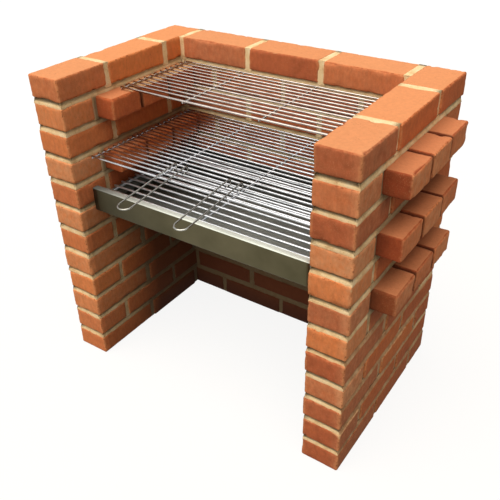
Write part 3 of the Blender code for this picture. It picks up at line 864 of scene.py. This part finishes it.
fitting = {
    "halfWidth": 0.336,
    "wireSides": 12,
    "barStations": 20,
    "rodStations": 12,
    "weldSink": 0.001,  # how far a bar is pressed into a rod
    "bow": 0.0003,  # how far a bar strays from straight
    "bowLength": 0.21,
    "scorched": (-0.20, -0.28), "rodClear": 0.006, "frontClear": 0.01,
}
grilleSizes = {
    "charcoal_grate": {
        "body": "grate", "slot": "grate_steel", "bar": 0.007, "frontBar": 0.007, "rod": 0.006, "count": 13,
        "front": -0.1423, "firstGap": 0.0278, "last": 0.1913, "rodLevel": 0.5396, "brickTint": 0.0,
        "rods": (-0.3239, -0.0121, 0.3239)},
    "cooking_grill": {
        "body": "grill", "slot": "bright_wire", "bar": 0.005, "frontBar": 0.006, "rod": 0.005, "count": 22,
        "front": -0.1795, "firstGap": 0.023, "last": 0.2255, "rodLevel": 0.6548, "brickTint": 0.75,
        "rods": (-0.332, -0.1102, 0.1102, 0.332)},
    "warming_rack": {
        "body": "rack", "slot": "bright_wire", "bar": 0.005, "frontBar": 0.006, "rod": 0.005, "count": 13,
        "front": -0.0435, "firstGap": 0.0284, "last": 0.2255, "rodLevel": 0.8028, "brickTint": 0.0,
        "rods": (-0.332, -0.123, 0.1062, 0.332)},
}


def buildGrille(node, size, material):
    # Straight bars along X lie on rods along Y and are welded where they cross.
    rest = np.linspace(size["front"] + size["firstGap"], size["last"], size["count"] - 1)
    rows = np.concatenate([[size["front"]], rest])
    parts, beads = [], []
    x = np.linspace(-fitting["halfWidth"], fitting["halfWidth"], fitting["barStations"])
    for number, along in enumerate(rows):
        wire = size["frontBar"] if number == 0 else size["bar"]
        height = size["rodLevel"] + (size["rod"] + wire) / 2 - fitting["weldSink"]
        path = np.stack([x, np.full(len(x), along), np.full(len(x), height)], 1)
        path[1:-1, 1] += smoothNoise(path[1:-1] + 3 * number, fitting["bowLength"], number) * fitting["bow"]
        parts.append(sweptTube(path, wire / 2, fitting["wireSides"]))
        beads += [weldSpot(across, along, size["rodLevel"] + size["rod"] / 2) for across in size["rods"]]
    y = np.linspace(rows[0] - size["frontBar"] / 2, rows[-1] + size["bar"] / 2, fitting["rodStations"])
    for across in size["rods"]:
        path = np.stack([np.full(len(y), across), y, np.full(len(y), size["rodLevel"])], 1)
        parts.append(sweptTube(path, size["rod"] / 2, fitting["wireSides"]))
    points, quads = joinParts(parts + beads)
    # painted reflection of the brick wall on the bars' left ends, but not on the front bar nor on the end rod
    scorched = size["brickTint"] * between(points[:, 0], fitting["scorched"])
    scorched = scorched * (points[:, 0] > size["rods"][0] + fitting["rodClear"])
    scorched = scorched * (points[:, 1] > rows[0] + fitting["frontClear"])
    grille = meshObject(node + "_wires", points, quads, material, {"scorched": scorched})
    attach(grille, size["body"])
    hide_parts(node)


for (node, size), material in zip(grilleSizes.items(), (grateWire, brightWire, rackWire)):
    buildGrille(node, size, material)
print("grate, grill and rack welded")


handle = {
    "wire": 0.004, "wireSides": 14, "spread": 0.036, "pairSpacing": 0.168, "hookRadius": 0.0065,
    "clearance": 0.0003, "hookedBar": (-0.1183, 0.6588), "barToFront": 0.0612, "loopFront": -0.3355,
    "hookStart": 90.0, "hookEnd": -150.0, "hookStations": 28, "loopStations": 30, "rodStations": 16,
}


def handlePath():
    # Hooks: circular arcs in the plane across X. Rods: the line that touches the hooks' circles and the
    # grill's front bar. Loop: half a circle that joins the two rods in front.
    grill = grilleSizes["cooking_grill"]
    hookRadius = handle["hookRadius"] + handle["wire"] / 2
    hookRise = handle["hookRadius"] - grill["bar"] / 2 - handle["clearance"]
    frontRadius = (grill["frontBar"] + handle["wire"]) / 2 + handle["clearance"]
    frontRise = (grill["frontBar"] - grill["bar"]) / 2 - hookRise
    distance = math.hypot(handle["barToFront"], frontRise)
    tilt = math.asin((hookRadius - frontRadius) / distance) + math.atan2(-frontRise, handle["barToFront"])
    outwards = np.array((0, -math.cos(tilt), -math.sin(tilt)))
    upwards = np.array((0, -math.sin(tilt), math.cos(tilt)))
    centre = np.array((0, handle["hookedBar"][0], handle["hookedBar"][1] + hookRise))
    loopRadius = handle["spread"] / 2
    side = np.array((loopRadius, 0, 0))
    angle = np.radians(np.linspace(handle["hookStart"], handle["hookEnd"], handle["hookStations"]))[:, None]
    hook = centre - outwards * hookRadius * np.cos(angle) + upwards * hookRadius * np.sin(angle)
    reach = (hook[0][1] - handle["loopFront"]) / math.cos(tilt) - loopRadius
    loopCentre = hook[0] + outwards * reach
    turn = np.linspace(0, math.pi, handle["loopStations"])[:, None]
    loop = loopCentre - side * np.cos(turn) + outwards * loopRadius * np.sin(turn)
    share = np.linspace(0, 1, handle["rodStations"])[1:-1, None]
    rod = hook[0] + (loopCentre - hook[0]) * share
    return np.concatenate([hook[::-1] - side, rod - side, loop, rod[::-1] + side, hook + side])


for name, sign in (("left", -1), ("right", 1)):
    path = handlePath() + np.array((sign * handle["pairSpacing"] / 2, 0, 0))
    points, quads = sweptTube(path, handle["wire"] / 2, handle["wireSides"])
    bent = meshObject(f"lifting_handle_{name}_wire", points, quads, handleWire)
    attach(bent, f"handle_{name}")
    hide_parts(f"lifting_handle_{name}")
print("handles bent")


# charcoal tray

tray = {
    "front": -0.1935, "depth": 0.415, "bottom": 0.5043, "frontHeight": 0.067, "backHeight": 0.037,
    "rim": 0.018, "sheet": 0.0015, "foldRadius": 0.0017, "foldSteps": 5, "halfWidth": 0.336,
    "endInset": 0.003, "flatStep": 0.02, "stations": 40, "endArris": 0.0006, "endCell": (0.004, 0.02, 0.012),
}
# how near a point of the sheet has to be to count as outside, inside or rim; shares of the painted reflection,
# and of soot and painted shade
trayMarks = {
    "outside": 0.0012, "inside": 0.0008, "rimBehind": 0.001, "rimBelow": 0.002,
    "soot": 0.38, "backward": 0.50, "leftward": 0.36, "most": 0.9, "frontShade": 0.55, "frontFrom": 0.1,
    "rimShade": 0.72, "rimPower": 1.6, "endReflection": 0.6, "endSoot": 0.2,
}


def roundedLine(corners, radius, steps):
    # A line through the corners whose turns are arcs of the radius.
    corners = np.array(corners, float)
    points = [corners[:1]]
    for before, here, after in zip(corners, corners[1:], corners[2:]):
        a, b = [(end - here) / np.linalg.norm(end - here) for end in (before, after)]
        half = math.acos(np.clip(a @ b, -1, 1)) / 2
        back = radius / math.tan(half)
        middle = here + (a + b) / np.linalg.norm(a + b) * radius / math.sin(half)
        start, stop = here + a * back - middle, here + b * back - middle
        share = np.linspace(0, 1, steps + 1)[:, None]
        swing = math.acos(np.clip(start @ stop / radius ** 2, -1, 1))
        arc = np.sin((1 - share) * swing) * start + np.sin(share * swing) * stop
        points.append(middle + arc / math.sin(swing))
    points.append(corners[-1:])
    return np.concatenate(points)


def sheetRun(line, thickness, ends, stations):
    # A sheet's middle line in the YZ plane, given its thickness both ways and carried along X.
    tangent = np.gradient(line, axis=0)
    tangent /= np.linalg.norm(tangent, axis=1, keepdims=True)
    normal = np.stack([-tangent[:, 1], tangent[:, 0]], 1)
    outline = np.concatenate([line + normal * thickness / 2, (line - normal * thickness / 2)[::-1]])
    count, x = len(outline), np.linspace(*ends, stations)
    across = np.repeat(x[:, None], count, 1)[..., None]
    points = np.concatenate([across, np.repeat(outline[None], stations, 0)], 2)
    half = np.arange(len(line) - 1)
    cap = np.stack([half, half + 1, count - 2 - half, count - 1 - half], 1)
    sides = gridQuads(stations, count)[:, ::-1]
    return points.reshape(-1, 3), np.concatenate([sides, cap, cap[:, ::-1] + (stations - 1) * count])


# the sheet's middle line, from the rim's edge down the front, along the bottom and up the back
sheet, front, bottom = tray["sheet"], tray["front"], tray["bottom"]
back, frontTop, backTop = front + tray["depth"], bottom + tray["frontHeight"], bottom + tray["backHeight"]
corners = [(front + tray["rim"], frontTop - sheet / 2), (front + sheet / 2, frontTop - sheet / 2),
           (front + sheet / 2, bottom + sheet / 2), (back - sheet / 2, bottom + sheet / 2),
           (back - sheet / 2, backTop)]
line = roundedLine(corners, tray["foldRadius"], tray["foldSteps"])
# more points over the long flats
stretches = []
for here, after in zip(line, line[1:]):
    count = max(2, int(np.linalg.norm(after - here) / tray["flatStep"]) + 2)
    stretches.append(np.linspace(here, after, count)[:-1])
line = np.concatenate(stretches + [line[-1:]])
points, quads = sheetRun(line, sheet, (-tray["halfWidth"], tray["halfWidth"]), tray["stations"])
y, z = points[:, 1], points[:, 2]
belowTop = z < frontTop - trayMarks["outside"]
# the front face carries the painted reflection
frontFace = (y < front + trayMarks["outside"]) & belowTop
rim = (y < front + tray["rim"] + trayMarks["rimBehind"]) & (z > frontTop - trayMarks["rimBelow"])
inside = (y > front + trayMarks["inside"]) & (z > bottom + trayMarks["inside"]) & belowTop
inside = inside & (y < back - trayMarks["inside"])
# soot inside, under painted shade that is blackest at the back and at the left, where the pier shades it;
# painted shade on the front's left end and on the rim's left end only
backward, leftward = (y - front) / tray["depth"], np.clip(-points[:, 0] / tray["halfWidth"], 0, 1)
soot = trayMarks["soot"] + trayMarks["backward"] * backward + trayMarks["leftward"] * leftward
soot = inside * np.clip(soot, 0, trayMarks["most"])
soot = np.maximum(soot, trayMarks["frontShade"] * frontFace * np.clip(leftward - trayMarks["frontFrom"], 0, 1))
soot = soot + rim * trayMarks["rimShade"] * leftward ** trayMarks["rimPower"]
channel = meshObject("charcoal_tray_channel", points, quads, traySteel, {"film": frontFace, "soot": soot})
plates = []
for sign in (-1, 1):
    outer = tray["halfWidth"] - tray["endInset"]
    left, right = sorted((sign * outer, sign * (outer - sheet)))
    points, quads, _, _, _, middle = roundedBlock(
        (left, front + sheet / 2, bottom + sheet / 2), (right, back - sheet / 2, backTop),
        tray["endArris"], tray["endCell"])
    plates.append((points + middle, quads))
points, quads = joinParts(plates)
# the end plates carry part of the painted reflection and a little soot
ends = meshObject("charcoal_tray_end_plates", points, quads, traySteel, {
    "film": np.full(len(points), trayMarks["endReflection"]), "soot": np.full(len(points), trayMarks["endSoot"])})
for piece in (channel, ends):
    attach(piece, "tray")
    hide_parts("charcoal_tray")
print("tray folded")


# floor, light and camera

studio = {
    "floorSize": 60.0,
    "floorColour": "#57554F",
    "floorRoughness": 0.9,
    "floorGlow": 0.88,
    "keyFrom": (-0.06, -0.44, 0.88),
    "keyAngle": 70.0,  # degrees across, a large softbox
    "keyLevel": 1.165,  # share of its colour that a surface facing the key shows
    "keyTint": "#FFF6EA",
    "skyStrength": 0.30,
    "sky": "#F7F8FA",  # what the camera and the metal see
    "fill": "#FFEFDB",  # what lights the shaded faces
}


def directlySeen(tree):
    # 1 for what the camera sees, straight or in metal, and 0 for what only lights other things.
    light = addNode(tree, "LightPath")
    seen = light.outputs["Is Camera Ray"]
    for ray in ("Is Glossy Ray", "Is Transmission Ray"):
        seen = addNode(tree, "Math", {"operation": "MAXIMUM"}, {0: seen, 1: light.outputs[ray]}).outputs[0]
    return seen


half = studio["floorSize"] / 2
floorMesh = bpy.data.meshes.new("floor")
corners = [(-half, -half, 0), (half, -half, 0), (half, half, 0), (-half, half, 0)]
floorMesh.from_pydata(corners, [], [(0, 1, 2, 3)])
floor = bpy.data.objects.new("floor", floorMesh)
scene.collection.objects.link(floor)
floorMaterial, tree, shader, _ = newMaterial("pale studio floor", {})
glow = addNode(tree, "Math", {"operation": "MULTIPLY", 1: studio["floorGlow"]}, {0: directlySeen(tree)})
fillNode(tree, shader, {
    "Base Color": hexColour(studio["floorColour"]), "Roughness": studio["floorRoughness"],
    "Emission Color": (1, 1, 1, 1)}, {"Emission Strength": glow.outputs[0]})
floorMesh.materials.append(floorMaterial)

world = bpy.data.worlds.new("studio sky")
scene.world = world
world.use_nodes = True
tree = world.node_tree
seen = directlySeen(tree)
level = addNode(tree, "MapRange", {"To Min": studio["skyStrength"], "To Max": 1.0}, {"Value": seen})
tint = addNode(tree, "Mix", {
    "data_type": "RGBA", 6: hexColour(studio["fill"]), 7: hexColour(studio["sky"])}, {0: seen})
fillNode(tree, tree.nodes["Background"], {}, {"Strength": level.outputs["Result"], "Color": tint.outputs[2]})

key = bpy.data.lights.new("key softbox", "SUN")
key.energy = studio["keyLevel"] * math.pi
key.angle = math.radians(studio["keyAngle"])
key.color = hexColour(studio["keyTint"])[:3]
keyObject = bpy.data.objects.new("key softbox", key)
keyObject.rotation_euler = Vector(studio["keyFrom"]).to_track_quat("Z", "Y").to_euler()
scene.collection.objects.link(keyObject)

# metres, degrees and millimetres, fitted to the photograph
view = {
    "position": (0.89083, -1.2193, 1.35908), "azimuth": 34.83, "elevation": 32.90, "roll": -1.20,
    "lens": 45.99, "sensor": 36.0,
}
az, el, roll = (math.radians(view[k]) for k in ("azimuth", "elevation", "roll"))
forward = Vector((-math.sin(az) * math.cos(el), math.cos(az) * math.cos(el), -math.sin(el)))
right = forward.cross(Vector((0, 0, 1))).normalized()
up = right.cross(forward)
tiltedRight = math.cos(roll) * right + math.sin(roll) * up
tiltedUp = -math.sin(roll) * right + math.cos(roll) * up
turned = Matrix((tiltedRight, tiltedUp, -forward)).transposed().to_4x4()
lens = bpy.data.cameras.new("camera")
lens.lens = view["lens"]
lens.sensor_width = view["sensor"]
camera = bpy.data.objects.new("camera", lens)
camera.matrix_world = Matrix.Translation(view["position"]) @ turned
scene.collection.objects.link(camera)
scene.camera = camera
scene.view_settings.view_transform = "Standard"
print("studio set")
